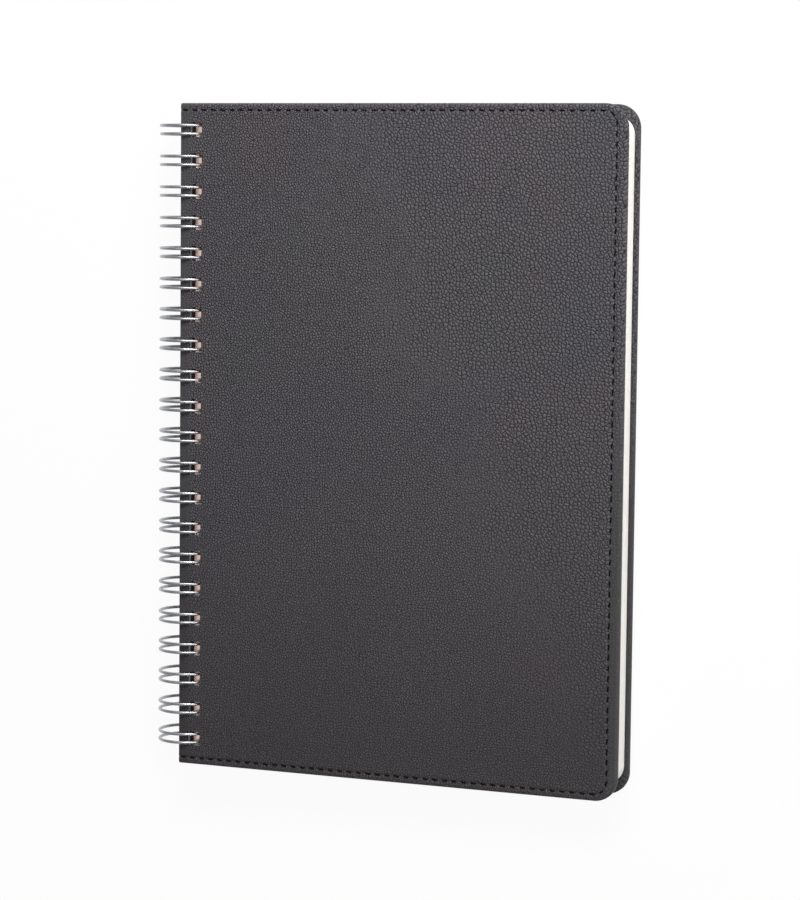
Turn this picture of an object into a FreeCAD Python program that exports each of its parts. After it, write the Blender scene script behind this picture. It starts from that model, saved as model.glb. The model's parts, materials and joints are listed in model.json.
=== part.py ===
import FreeCAD, Part
import math
import os
import Sketcher
from FreeCAD import Placement, Rotation, Vector

# Twin-loop wire notebook with stitched leather covers, closed and lying on its back, in millimetres.
# +X runs from the wire to the fore-edge, +Y to the head of the page, +Z out of the front cover.
# The origin is under the middle of the book, level with the lowest point of the wire.

doc = FreeCAD.newDocument("notebook")

# Driving dimensions

SIZES = (
    ("page_width", 127.0),
    ("page_height", 177.8),
    ("page_block_thickness", 8.3),
    ("page_setback", 0.3),
    ("end_overhang", 3.0),
    ("fore_overhang", 1.2),
    ("cover_play", 0.1),
    ("leather_thickness", 0.5),
    ("board_thickness", 1.0),
    ("board_fit", 0.05),
    ("turn_in", 12.0),
    ("lining_fit", 0.1),
    ("corner_radius", 6.35),
    ("outer_edge_round", 0.8),
    ("inner_edge_round", 0.4),
    ("loop_pitch", 8.4667),
    ("loop_radius", 7.6),
    ("wire_diameter", 0.84),
    ("wire_sides", 6),
    ("twin_spacing", 2.35),
    ("tip_angle", 12.0),
    ("base_angle", 36.0),
    ("base_bend_radius", 1.0),
    ("wire_tail", 0.6),
    ("spine_gap", 0.65),
    ("hole_length", 4.0),
    ("hole_clearance", 0.22),
    ("page_hole_width", 4.0),
    ("paper_past_holes", 2.0),
    ("wire_relief", 0.28),
    ("stitch_end_inset", 1.9),
    ("stitch_fore_inset", 2.8),
    ("stitch_corner_radius", 3.6),
    ("stitch_pitch", 2.8),
    ("stitch_length", 1.9),
    ("thread_width", 0.5),
    ("thread_thickness", 0.18),
    ("seam_width", 0.8),
    ("seam_depth", 0.2),
)

sheet = doc.addObject("Spreadsheet::Sheet", "sizes")
for row, (alias, number) in enumerate(SIZES, start=1):
    sheet.set(f"A{row}", alias)
    sheet.set(f"B{row}", str(number))
    sheet.setAlias(f"B{row}", alias)
doc.recompute()


def size(alias):
    return float(sheet.get(alias))


# Sizes that follow from the driving ones, as expressions on the sheet

COVER_THICKNESS = "(2 * sizes.leather_thickness + sizes.board_thickness)"
LEFT = "sizes.spine_gap"
RIGHT = "(sizes.spine_gap + sizes.page_setback + sizes.page_width + sizes.fore_overhang)"
HALF_HEIGHT = "(sizes.page_height / 2 + sizes.end_overhang)"
PAGE_LEFT = "(sizes.spine_gap + sizes.page_setback)"
WIRE_REACH = "(sizes.loop_radius + sizes.wire_diameter / 2)"
LOOP_COUNT = (
    "(1 + floor((sizes.page_height - sizes.hole_length - 2 * sizes.paper_past_holes)"
    " / sizes.loop_pitch))"
)
WIRE_SPAN = f"(({LOOP_COUNT} - 1) * sizes.loop_pitch)"
AXIS_X = f"(({WIRE_REACH} - {RIGHT}) / 2)"
AXIS_Z = WIRE_REACH
INNER_FACE = "(sizes.page_block_thickness / 2 + sizes.cover_play)"
OUTER_FACE = f"({INNER_FACE} + {COVER_THICKNESS})"
BRIDGE_X = (
    "(sizes.loop_radius * cos(sizes.base_angle * 1 deg)"
    " + sizes.base_bend_radius * sin(sizes.base_angle * 1 deg))"
)
BRIDGE_Z = (
    "(sizes.base_bend_radius * cos(sizes.base_angle * 1 deg)"
    " - sizes.loop_radius * sin(sizes.base_angle * 1 deg))"
)


# Where a loop passes a level, and how far its slanting wire reaches to each side of that place


def loop_place(level):
    return f"sqrt(sizes.loop_radius ^ 2 - {level} ^ 2)"


def slant_reach(level):
    return f"(sizes.wire_diameter / 2 * sizes.loop_radius / {loop_place(level)} + sizes.hole_clearance)"


COVER_HOLE_LEFT = f"({loop_place(OUTER_FACE)} - {slant_reach(OUTER_FACE)})"
COVER_HOLE_RIGHT = f"({loop_place(INNER_FACE)} + {slant_reach(INNER_FACE)})"
PAGE_HOLE_RIGHT = f"({WIRE_REACH} + sizes.hole_clearance)"
PAGE_HOLE_LEFT = f"({PAGE_HOLE_RIGHT} - sizes.page_hole_width)"


def worked_out(expression):
    return float(sheet.evalExpression(expression))


# Each body is drawn from the axis of the wire, round which its leaf turns


def new_body(name, height, turned=False):
    body = doc.addObject("PartDesign::Body", name)
    body.Label = name
    if turned:
        body.Placement = Placement(Vector(), Rotation(Vector(1, 0, 0), 180))
    body.setExpression("Placement.Base.x", AXIS_X)
    body.setExpression("Placement.Base.z", height)
    return body


def new_sketch(body, name, role="XY_Plane", offset=None):
    plane = next(f for f in body.Origin.OriginFeatures if f.Role == role)
    sketch = body.newObject("Sketcher::SketchObject", f"{body.Label}_{name}")
    sketch.AttachmentSupport = [(plane, "")]
    sketch.MapMode = "FlatFace"
    if offset:
        sketch.setExpression("AttachmentOffset.Base.z", offset)
    return sketch


def bind(sketch, name, expression, kind, *where):
    start = worked_out(expression)
    index = sketch.addConstraint(Sketcher.Constraint(kind, *where, start))
    sketch.renameConstraint(index, name)
    sketch.setExpression(f"Constraints.{name}", expression)


ORIGIN = (-1, 1)


def rectangle(sketch, left, right, low, high):
    x0, x1, y0, y1 = (worked_out(e) for e in (left, right, low, high))
    corners = [Vector(x0, y0), Vector(x1, y0), Vector(x1, y1), Vector(x0, y1)]
    for start, end in zip(corners, corners[1:] + corners[:1]):
        sketch.addGeometry(Part.LineSegment(start, end))
    for side in range(4):
        sketch.addConstraint(Sketcher.Constraint("Coincident", side, 2, (side + 1) % 4, 1))
        level = "Horizontal" if side % 2 == 0 else "Vertical"
        sketch.addConstraint(Sketcher.Constraint(level, side))
    bind(sketch, "left", left, "DistanceX", *ORIGIN, 0, 1)
    bind(sketch, "right", right, "DistanceX", *ORIGIN, 1, 1)
    bind(sketch, "low", low, "DistanceY", *ORIGIN, 0, 1)
    bind(sketch, "high", high, "DistanceY", *ORIGIN, 2, 1)


# A leaf's outline is square at the spine and round at its two fore-edge corners.
# Left open, it is the line that the seam follows.


def leaf_outline(sketch, left, right, half_height, radius, closed=True):
    x0, x1, top, r = (worked_out(e) for e in (left, right, half_height, radius))
    quarter = math.pi / 2
    up = Vector(0, 0, 1)
    sketch.addGeometry(Part.LineSegment(Vector(x0, -top), Vector(x1 - r, -top)))
    sketch.addGeometry(Part.ArcOfCircle(Part.Circle(Vector(x1 - r, r - top), up, r), -quarter, 0))
    sketch.addGeometry(Part.LineSegment(Vector(x1, r - top), Vector(x1, top - r)))
    sketch.addGeometry(Part.ArcOfCircle(Part.Circle(Vector(x1 - r, top - r), up, r), 0, quarter))
    sketch.addGeometry(Part.LineSegment(Vector(x1 - r, top), Vector(x0, top)))
    for piece in range(4):
        sketch.addConstraint(Sketcher.Constraint("Tangent", piece, 2, piece + 1, 1))
    for piece, level in ((0, "Horizontal"), (2, "Vertical"), (4, "Horizontal")):
        sketch.addConstraint(Sketcher.Constraint(level, piece))
    sketch.addConstraint(Sketcher.Constraint("Equal", 1, 3))
    if closed:
        sketch.addGeometry(Part.LineSegment(Vector(x0, top), Vector(x0, -top)))
        sketch.addConstraint(Sketcher.Constraint("Coincident", 4, 2, 5, 1))
        sketch.addConstraint(Sketcher.Constraint("Coincident", 5, 2, 0, 1))
    bind(sketch, "corner", radius, "Radius", 1)
    bind(sketch, "left", left, "DistanceX", *ORIGIN, 0, 1)
    bind(sketch, "left_top", left, "DistanceX", *ORIGIN, 4, 2)
    bind(sketch, "right", right, "DistanceX", *ORIGIN, 2, 1)
    bind(sketch, "low", f"-{half_height}", "DistanceY", *ORIGIN, 0, 1)
    bind(sketch, "high", half_height, "DistanceY", *ORIGIN, 4, 2)


def add_pad(body, sketch, length):
    pad = body.newObject("PartDesign::Pad", f"{sketch.Label}_pad")
    pad.Profile = sketch
    pad.setExpression("Length", length)
    sketch.Visibility = False
    doc.recompute()
    return pad


def cut_up(body, sketch, depth):
    before = body.Shape.Volume
    pocket = body.newObject("PartDesign::Pocket", f"{sketch.Label}_pocket")
    pocket.Profile = sketch
    pocket.Reversed = True
    pocket.setExpression("Length", depth)
    doc.recompute()
    if body.Shape.Volume >= before:
        raise RuntimeError(f"{pocket.Label} cuts nothing")
    return pocket


# One row of punched holes along the spine


def punch_row(body, left, right, offset, depth, count=LOOP_COUNT):
    sketch = new_sketch(body, "hole", offset=offset)
    span = f"(({count} - 1) * sizes.loop_pitch)"
    low = f"(-{span} / 2 - sizes.hole_length / 2)"
    high = f"(-{span} / 2 + sizes.hole_length / 2)"
    rectangle(sketch, left, right, low, high)
    pocket = cut_up(body, sketch, depth)
    row = body.newObject("PartDesign::LinearPattern", f"{body.Label}_holes")
    row.Originals = [pocket]
    row.Direction = (sketch, ["V_Axis"])
    row.setExpression("Length", span)
    row.setExpression("Occurrences", count)
    body.Tip = row
    doc.recompute()


# The page block, with a channel in its underside for the bridges of the wire


def make_page_block():
    body = new_body("page_block", f"({AXIS_Z} - sizes.page_block_thickness / 2)")
    outline = new_sketch(body, "outline")
    leaf_outline(
        outline,
        PAGE_LEFT,
        f"({PAGE_LEFT} + sizes.page_width)",
        "(sizes.page_height / 2)",
        "(sizes.corner_radius - sizes.fore_overhang)",
    )
    add_pad(body, outline, "sizes.page_block_thickness")
    channel = new_sketch(body, "channel")
    side = "(sizes.wire_diameter / 2 + sizes.wire_relief)"
    reach = (
        f"({WIRE_SPAN} / 2 + sizes.twin_spacing / 2 + sizes.base_bend_radius"
        " + sizes.wire_tail + sizes.wire_relief)"
    )
    rectangle(channel, f"({BRIDGE_X} - {side})", f"({BRIDGE_X} + {side})", f"-{reach}", reach)
    cut_up(body, channel, f"(sizes.page_block_thickness / 2 + {BRIDGE_Z} + {side})")
    punch_row(body, PAGE_HOLE_LEFT, PAGE_HOLE_RIGHT, None, "sizes.page_block_thickness")
    return body


# Covers: leather turned in over a board on three edges, with a lining let in flush.
# All three layers end raw at the spine, and each is drawn with its inner face down.

FRONT_HEIGHT = f"({AXIS_Z} + {INNER_FACE})"
BACK_HEIGHT = f"({AXIS_Z} - {INNER_FACE})"
WINDOW_RIGHT = f"({RIGHT} - sizes.turn_in)"
WINDOW_HALF_HEIGHT = f"({HALF_HEIGHT} - sizes.turn_in)"
SEAM_RIGHT = f"({RIGHT} - sizes.stitch_fore_inset)"
SEAM_HALF_HEIGHT = f"({HALF_HEIGHT} - sizes.stitch_end_inset)"


def punch_cover(body, offset, depth, count=LOOP_COUNT):
    punch_row(body, COVER_HOLE_LEFT, COVER_HOLE_RIGHT, offset, depth, count)


def rim_edges(shape, height):
    left, right, top = (worked_out(e) for e in (LEFT, RIGHT, HALF_HEIGHT))
    near = 1e-6

    def on_rim(point):
        at_side = abs(point.x - right) < near or abs(abs(point.y) - top) < near
        return at_side and abs(point.z - height) < near

    names = []
    for number, edge in enumerate(shape.Edges, start=1):
        points = [vertex.Point for vertex in edge.Vertexes]
        at_spine = all(abs(point.x - left) < near for point in points)
        if not at_spine and all(on_rim(point) for point in points):
            names.append(f"Edge{number}")
    return names


def round_rim(body, height, radius):
    base = body.Tip
    fillet = body.newObject("PartDesign::Fillet", f"{body.Label}_rim")
    fillet.Base = (base, rim_edges(base.Shape, height))
    fillet.setExpression("Radius", radius)
    doc.recompute()


def press_seam(body, name, height):
    path = new_sketch(body, f"{name}_seam_path", offset=height)
    leaf_outline(path, LEFT, SEAM_RIGHT, SEAM_HALF_HEIGHT, "sizes.stitch_corner_radius", closed=False)
    section = new_sketch(body, f"{name}_seam_section", role="YZ_Plane", offset=LEFT)
    middle = f"-{SEAM_HALF_HEIGHT}"
    half = "sizes.seam_width / 2"
    rectangle(
        section,
        f"({middle} - {half})",
        f"({middle} + {half})",
        f"({height} - sizes.seam_depth)",
        f"({height} + sizes.seam_depth)",
    )
    before = body.Shape.Volume
    seam = body.newObject("PartDesign::SubtractivePipe", f"{body.Label}_{name}_seam")
    seam.Profile = section
    seam.Spine = (path, [f"Edge{number}" for number in range(1, 6)])
    seam.Mode = "Frenet"
    doc.recompute()
    if body.Shape.Volume >= before:
        raise RuntimeError(f"{seam.Label} cuts nothing")
    return path


def make_leather(name, height, turned):
    body = new_body(name, height, turned)
    outline = new_sketch(body, "outline")
    leaf_outline(outline, LEFT, RIGHT, HALF_HEIGHT, "sizes.corner_radius")
    add_pad(body, outline, COVER_THICKNESS)
    bay = new_sketch(body, "board_bay", offset="sizes.leather_thickness")
    leaf_outline(
        bay,
        LEFT,
        f"({RIGHT} - sizes.leather_thickness)",
        f"({HALF_HEIGHT} - sizes.leather_thickness)",
        "(sizes.corner_radius - sizes.leather_thickness)",
    )
    cut_up(body, bay, "sizes.board_thickness")
    window = new_sketch(body, "window")
    rectangle(window, LEFT, WINDOW_RIGHT, f"-{WINDOW_HALF_HEIGHT}", WINDOW_HALF_HEIGHT)
    cut_up(body, window, "sizes.leather_thickness")
    round_rim(body, worked_out(COVER_THICKNESS), "sizes.outer_edge_round")
    round_rim(body, 0.0, "sizes.inner_edge_round")
    path = press_seam(body, "outer", COVER_THICKNESS)
    press_seam(body, "inner", "0")
    punch_cover(body, None, COVER_THICKNESS)
    return body, path


def make_board(name, height, turned):
    body = new_body(name, height, turned)
    outline = new_sketch(body, "outline", offset="sizes.leather_thickness")
    margin = "(sizes.leather_thickness + sizes.board_fit)"
    leaf_outline(
        outline,
        LEFT,
        f"({RIGHT} - {margin})",
        f"({HALF_HEIGHT} - {margin})",
        f"(sizes.corner_radius - {margin})",
    )
    add_pad(body, outline, "sizes.board_thickness")
    punch_cover(body, "sizes.leather_thickness", "sizes.board_thickness")
    return body


def make_lining(name, height, turned):
    body = new_body(name, height, turned)
    outline = new_sketch(body, "outline")
    top = f"({WINDOW_HALF_HEIGHT} - sizes.lining_fit)"
    rectangle(outline, LEFT, f"({WINDOW_RIGHT} - sizes.lining_fit)", f"-{top}", top)
    add_pad(body, outline, "sizes.leather_thickness")
    past_lining = f"({WIRE_SPAN} / 2 + sizes.hole_length / 2 - {top}) / sizes.loop_pitch"
    count = f"({LOOP_COUNT} - 2 * ceil({past_lining}))"
    punch_cover(body, None, "sizes.leather_thickness", count)
    return body


# The stitches lie end to end along the seam, each a straight bar of thread, also round the corners


def make_stitching(name, leather, path):
    run = path.Shape.Wires[0]
    count = round(run.Length / size("stitch_pitch"))
    step = run.Length / count
    length = size("stitch_length")
    width = size("thread_width")
    bars = []
    knots = run.discretize(Number=2 * count + 1)
    for number in range(count):
        middle = knots[2 * number + 1]
        along = knots[2 * number + 2] - knots[2 * number]
        bar = Part.makeBox(length, width, size("thread_thickness"))
        bar.translate(Vector(-length / 2, -width / 2, -size("seam_depth")))
        turn = Rotation(Vector(1, 0, 0), along)
        bar.Placement = Placement(middle, turn).multiply(bar.Placement)
        bars.append(bar)
    stitching = doc.addObject("Part::Feature", name)
    stitching.Label = name
    stitching.Shape = Part.makeCompound(bars)
    stitching.Placement = leather.Placement
    print(f"{name}: {count} stitches, {step:.3f} apart")
    return stitching


# Binding wire: one length of wire, bent into twin loops that reach through the punched holes.
# Each pair of arms is joined by a U at its tip, and neighbouring pairs by a bridge at the base.
# The round section is drawn as a polygon round it, with one flat on the outside of every loop.


def on_loop(degrees, y):
    angle = math.radians(degrees)
    radius = size("loop_radius")
    return Vector(radius * math.cos(angle), y, radius * math.sin(angle))


def along_loop(degrees):
    angle = math.radians(degrees)
    return Vector(-math.sin(angle), 0, math.cos(angle))


def quarter_bend(centre, start, end, radius):
    middle = (start + end).normalize()
    points = [centre + direction * radius for direction in (start, middle, end)]
    return Part.Arc(*points).toShape()


def wire_path():
    base = -size("base_angle")
    tip = -360 - size("tip_angle")
    middle = (base + tip) / 2
    half = size("twin_spacing") / 2
    bend = size("base_bend_radius")
    rise = along_loop(base)
    across = Vector(0, 1, 0)
    count = int(worked_out(LOOP_COUNT))
    edges = []
    last = None
    for number in range(count):
        y = (number - (count - 1) / 2) * size("loop_pitch")
        first_foot = on_loop(base, y - half) - across * bend
        second_foot = on_loop(base, y + half) + across * bend
        landing = first_foot + rise * bend
        if last is None:
            last = landing - across * size("wire_tail")
        edges.append(Part.LineSegment(last, landing).toShape())
        edges.append(quarter_bend(first_foot, rise, across, bend))
        arm = [on_loop(angle, y - half) for angle in (base, middle, tip)]
        edges.append(Part.Arc(*arm).toShape())
        crown = on_loop(tip, y) - along_loop(tip) * half
        edges.append(Part.Arc(on_loop(tip, y - half), crown, on_loop(tip, y + half)).toShape())
        arm = [on_loop(angle, y + half) for angle in (tip, middle, base)]
        edges.append(Part.Arc(*arm).toShape())
        edges.append(quarter_bend(second_foot, -across, rise, bend))
        last = second_foot + rise * bend
    edges.append(Part.LineSegment(last, last + across * size("wire_tail")).toShape())
    return Part.Wire(edges)


def make_binding_wire():
    path = doc.addObject("Part::Feature", "wire_path")
    path.Shape = wire_path()
    section = doc.addObject("Part::RegularPolygon", "wire_section")
    section.setExpression("Polygon", "sizes.wire_sides")
    section.setExpression("Circumradius", "sizes.wire_diameter / 2 / cos(180 deg / sizes.wire_sides)")
    start = path.Shape.Edges[0].Vertexes[0].Point
    corner = size("base_angle") + 180 / size("wire_sides")
    to_plane = Rotation(Vector(0, 1, 0), corner).multiply(Rotation(Vector(1, 0, 0), 90))
    section.Placement = Placement(start, to_plane)
    sweep = doc.addObject("Part::Sweep", "binding_wire")
    sweep.Label = "binding_wire"
    sweep.Sections = [section]
    sweep.Spine = (path, [f"Edge{number + 1}" for number in range(len(path.Shape.Edges))])
    sweep.Solid = True
    sweep.Frenet = False
    sweep.setExpression("Placement.Base.x", AXIS_X)
    sweep.setExpression("Placement.Base.z", AXIS_Z)
    doc.recompute()
    expected = path.Shape.Length * Part.Face(section.Shape).Area
    volume = sweep.Shape.Volume
    print(f"binding_wire: {path.Shape.Length:.1f} long, volume {volume:.2f}, expected {expected:.2f}")
    return sweep


pieces = [make_page_block(), make_binding_wire()]
for side, height, turned in (("front", FRONT_HEIGHT, False), ("back", BACK_HEIGHT, True)):
    leather, seam_path = make_leather(f"{side}_leather", height, turned)
    pieces.append(leather)
    pieces.append(make_board(f"{side}_board", height, turned))
    pieces.append(make_lining(f"{side}_lining", height, turned))
    pieces.append(make_stitching(f"{side}_stitching", leather, seam_path))
doc.recompute()

for item in doc.Objects:
    if "Invalid" in item.State or "Error" in item.State:
        raise RuntimeError(f"{item.Label} is {item.State}")
for piece in pieces:
    if piece.Shape.isNull() or not piece.Shape.isValid():
        raise RuntimeError(f"{piece.Label} has no valid shape")

os.makedirs("parts", exist_ok=True)
for piece in pieces:
    piece.Shape.exportStep(f"parts/{piece.Label}.step")
    box = piece.Shape.BoundBox
    print(
        f"{piece.Label}: {len(piece.Shape.Solids)} solids, {piece.Shape.Volume:.1f} mm3,"
        f" x {box.XMin:.2f} to {box.XMax:.2f}, y {box.YMin:.2f} to {box.YMax:.2f},"
        f" z {box.ZMin:.2f} to {box.ZMax:.2f}"
    )
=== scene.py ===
# %% [markdown]
# A notebook with stitched leather covers on twin-loop wire
#
# This lesson dresses a small wire-bound notebook. The shapes that turn and fit are already there: the
# construction model gives a block of pages, a wire and two covers, each in its true place, in metres.
# What a camera sees of such a book is mostly skin: pebbled leather pressed down by its thread, bright
# drawn wire, and the edges of some eighty leaves of paper. Those are made here, piece by piece, on top
# of the model and inside its box.

# %% Start from the construction model
import json
import math

import bpy
import numpy as np
from mathutils import Matrix, Vector
from mathutils.geometry import delaunay_2d_cdt

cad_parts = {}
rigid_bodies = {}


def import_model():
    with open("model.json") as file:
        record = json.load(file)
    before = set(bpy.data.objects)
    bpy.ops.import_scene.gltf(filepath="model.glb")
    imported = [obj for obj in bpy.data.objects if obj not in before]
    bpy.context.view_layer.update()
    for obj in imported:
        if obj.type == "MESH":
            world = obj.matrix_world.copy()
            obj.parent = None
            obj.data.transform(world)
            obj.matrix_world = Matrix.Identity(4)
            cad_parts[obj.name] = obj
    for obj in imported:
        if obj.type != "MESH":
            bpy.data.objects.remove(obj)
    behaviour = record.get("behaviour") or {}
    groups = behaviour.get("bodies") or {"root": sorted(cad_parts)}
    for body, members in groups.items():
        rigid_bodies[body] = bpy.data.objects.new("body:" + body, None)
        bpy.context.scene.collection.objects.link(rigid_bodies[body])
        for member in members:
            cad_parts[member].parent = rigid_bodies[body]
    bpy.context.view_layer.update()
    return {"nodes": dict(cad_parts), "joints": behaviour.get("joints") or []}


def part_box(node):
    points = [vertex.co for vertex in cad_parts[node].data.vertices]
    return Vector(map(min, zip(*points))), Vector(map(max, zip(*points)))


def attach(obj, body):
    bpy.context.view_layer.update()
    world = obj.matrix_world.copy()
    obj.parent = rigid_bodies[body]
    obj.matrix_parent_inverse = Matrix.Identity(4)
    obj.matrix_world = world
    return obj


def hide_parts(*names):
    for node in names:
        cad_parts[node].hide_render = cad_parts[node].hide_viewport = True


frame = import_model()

print("pieces:", ", ".join(sorted(frame["nodes"])))

# %% [markdown]
# Sizes come in two kinds. Where a piece of the model can be measured, its box is read, so that the
# dressed book follows the model when a size changes. The small things that the boxes don't show, such as
# the stitches and the thickness of the leather, are written once as real sizes, here or where their piece
# is made.

# %% Sizes
MM = 0.001
leather_low, leather_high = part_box("front_leather")
pages_low, pages_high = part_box("page_block")
AXIS = Vector(frame["joints"][0]["pos_m"])

SPINE_X = leather_low.x
FORE_X = leather_high.x
HALF_HEIGHT = leather_high.y
OUTER_FACE = leather_high.z - AXIS.z
INNER_FACE = leather_low.z - AXIS.z

LEATHER_THICKNESS = 0.5 * MM
TURN_IN = 12.0 * MM
COVER_CORNER = 6.35 * MM
OUTER_ROUND = 0.8 * MM
INNER_ROUND = 0.4 * MM

LOOP_COUNT = 21
LOOP_PITCH = 8.4667 * MM
LOOP_RADIUS = 7.6 * MM
WIRE_RADIUS = 0.42 * MM
TWIN_SPACING = 2.35 * MM
TIP_ANGLE = 12
BASE_ANGLE = 36
BASE_BEND = 1.0 * MM
WIRE_TAIL = 0.6 * MM

HOLE_LENGTH = 4.0 * MM
COVER_HOLE = (AXIS.x + 3.366 * MM, AXIS.x + 7.03 * MM)
PAGE_HOLE = (AXIS.x + 4.24 * MM, AXIS.x + 8.24 * MM)

SEAM_END_INSET = 1.9 * MM
SEAM_FORE_INSET = 2.8 * MM
SEAM_CORNER = 3.6 * MM
STITCH_PITCH = 2.8 * MM
STITCH_LENGTH = 1.6 * MM
THREAD_WIDTH = 0.43 * MM
SEAM_DEPTH = 0.13 * MM

HOLE_PLACES = [(number - (LOOP_COUNT - 1) / 2) * LOOP_PITCH for number in range(LOOP_COUNT)]
print(f"cover {(FORE_X - SPINE_X) / MM:.1f} x {2 * HALF_HEIGHT / MM:.1f} mm, {LOOP_COUNT} holes")

# %% [markdown]
# A finish is a small tree of nodes, and most of it is arithmetic: this mask times that grain, plus a
# little noise. Typed as nodes, one formula takes a dozen lines. So one small class wraps a socket and
# lets Python's own operators add the Math nodes, and a second class adds every other node through one
# method: its type, its settings, and what goes into its sockets.

# %% Shader values that take part in arithmetic
class Shade:
    """An output socket of a finish. Plain arithmetic on it adds Math nodes."""

    def __init__(self, finish, socket):
        self.finish = finish
        self.socket = socket

    def also(self, name):
        return Shade(self.finish, self.socket.node.outputs[name])

    def math(self, operation, *values):
        sockets = dict(enumerate(values))
        return self.finish.add("ShaderNodeMath", {"operation": operation}, sockets)

    def __add__(self, other):
        return self.math("ADD", self, other)

    def __sub__(self, other):
        return self.math("SUBTRACT", self, other)

    def __rsub__(self, other):
        return self.math("SUBTRACT", other, self)

    def __mul__(self, other):
        return self.math("MULTIPLY", self, other)

    def __abs__(self):
        return self.math("ABSOLUTE", self)

    __radd__ = __add__
    __rmul__ = __mul__

    def rise(self, low, high):
        """0 below low, 1 above high, and a soft step between them."""
        sockets = {"Value": self, "From Min": low, "From Max": high}
        return self.finish.add("ShaderNodeMapRange", {"interpolation_type": "SMOOTHSTEP"}, sockets)


class Finish:
    """One material, from its coordinates to its surface."""

    def __init__(self, name):
        self.material = bpy.data.materials.new(name)
        self.material.use_nodes = True
        self.nodes = self.material.node_tree.nodes
        self.links = self.material.node_tree.links
        self.nodes.clear()
        self.place = self.add("ShaderNodeTexCoord", {}, {}, "Object")
        self.x = self.add("ShaderNodeSeparateXYZ", {}, {"Vector": self.place}, "X")
        self.y = self.x.also("Y")
        self.z = self.x.also("Z")

    def add(self, kind, settings, sockets, output=0):
        """Adds a node: its settings first, then what its sockets hold, and gives one output."""
        node = self.nodes.new(kind)
        for name, value in settings.items():
            setattr(node, name, value)
        for name, value in sockets.items():
            socket = self.find(node.inputs, name)
            if isinstance(value, Shade):
                self.links.new(value.socket, socket)
            else:
                socket.default_value = value
        return Shade(self, self.find(node.outputs, output)) if len(node.outputs) else node

    @staticmethod
    def find(sockets, name):
        if isinstance(name, int):
            return sockets[name]
        return next(s for s in sockets if name in (s.identifier, s.name))

    def mix(self, factor, first, second):
        """A colour between two colours."""
        first, second = (c if isinstance(c, Shade) else (*c, 1) for c in (first, second))
        sockets = {"Factor_Float": factor, "A_Color": first, "B_Color": second}
        return self.add("ShaderNodeMix", {"data_type": "RGBA"}, sockets, "Result_Color")

    def scaled(self, colour, value):
        """A colour made lighter or darker."""
        settings = {"operation": "SCALE"}
        return self.add("ShaderNodeVectorMath", settings, {0: colour, "Scale": value}, "Vector")

    def noise(self, scale, detail=2, vector=None):
        sockets = {"Vector": vector or self.place, "Scale": scale, "Detail": detail}
        return self.add("ShaderNodeTexNoise", {}, sockets, "Fac")

    def stretched(self, x, y, z):
        """The place with each direction scaled, for grain that runs one way."""
        settings = {"operation": "MULTIPLY"}
        return self.add("ShaderNodeVectorMath", settings, {0: self.place, 1: (x, y, z)}, "Vector")

    def bump(self, height, distance, strength=1.0):
        sockets = {"Strength": strength, "Distance": distance, "Height": height}
        return self.add("ShaderNodeBump", {}, sockets, "Normal")

    def surface(self, sockets):
        shader = self.add("ShaderNodeBsdfPrincipled", {}, sockets)
        self.add("ShaderNodeOutputMaterial", {}, {"Surface": shader})
        return self.material


print("finish helpers ready")

# %% [markdown]
# The covers are charcoal leather with a pebbled grain: small domed cells with creases between them, painted
# dark as painted shade.
# A photograph of real hide could give that, but it would repeat and blur close up. Voronoi cells give it
# at any distance: the distance to a cell's edge is a crease where it is near zero and a dome further in.
# The cells are flat ones, in x and y alone, because the covers are, and their creases stay thin that way.
# Height is added to both, so that the pattern also runs on over the upright edges.
#
# Hide isn't even, so two grains are blended. Over most of the cover the cells are fine and shallow, and
# towards the upper corner of the fore-edge they grow coarser and deeper. Noise bends the cells first, so
# that no two are alike.
#
# Painted shade darkens the creases, and the creases that run nearly along the spine are painted darkest.
# From the middle of a cell, such a crease lies in the x direction, and a crease that runs across the
# cover lies in the y direction. So the direction to the middle sets how dark the painted shade in a crease
# gets. Handling has flattened the strip beside the wire nearly smooth, and the lower half of the rim too.
# Both strips are painted darker: beside the wire with painted shadow of the loops, on the rim with painted
# shade. The whole cover is painted darker towards the bottom, as painted shade, and its pores and streaks
# are painted lighter, as painted sheen.

# %% Charcoal leather
FINE_CELLS = 1300
COARSE_CELLS = 1000
FINE_CREASE = 0.22
COARSE_CREASE = 0.19
CREASE_LEAN = math.radians(12)
CROSS_CREASE = 0.45
BEND_CELLS = 900
BEND_REACH = 0.32 * MM
SPINE_STRIP = (SPINE_X + 2.2 * MM, SPINE_X + 5.0 * MM)
RIM_STRIP = (FORE_X - SEAM_FORE_INSET - 0.4 * MM, FORE_X - SEAM_FORE_INSET + 1.0 * MM)


def grain(leather, place, cells, width):
    """Creases between cells, their painted shade darkest where they run nearly along the spine, and the
    domes between.
    """
    sockets = {"Vector": place, "Scale": cells}
    kind = {"voronoi_dimensions": "2D", "feature": "DISTANCE_TO_EDGE"}
    to_edge = leather.add("ShaderNodeTexVoronoi", kind, sockets, "Distance")
    kind = {"voronoi_dimensions": "2D", "feature": "F1"}
    middle = leather.add("ShaderNodeTexVoronoi", kind, sockets, "Position")
    apart = leather.add("ShaderNodeVectorMath", {"operation": "SUBTRACT"}, {0: place, 1: middle}, "Vector")
    sockets = {0: apart, 1: (math.cos(CREASE_LEAN), math.sin(CREASE_LEAN), 0)}
    beside = abs(leather.add("ShaderNodeVectorMath", {"operation": "DOT_PRODUCT"}, sockets, "Value"))
    lengthwise = beside.rise(0.10 / cells, 0.38 / cells)
    crease = (1 - to_edge.rise(0.03, width)) * (CROSS_CREASE + lengthwise * (1 - CROSS_CREASE))
    return crease, to_edge.rise(0.0, 0.4)


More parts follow.
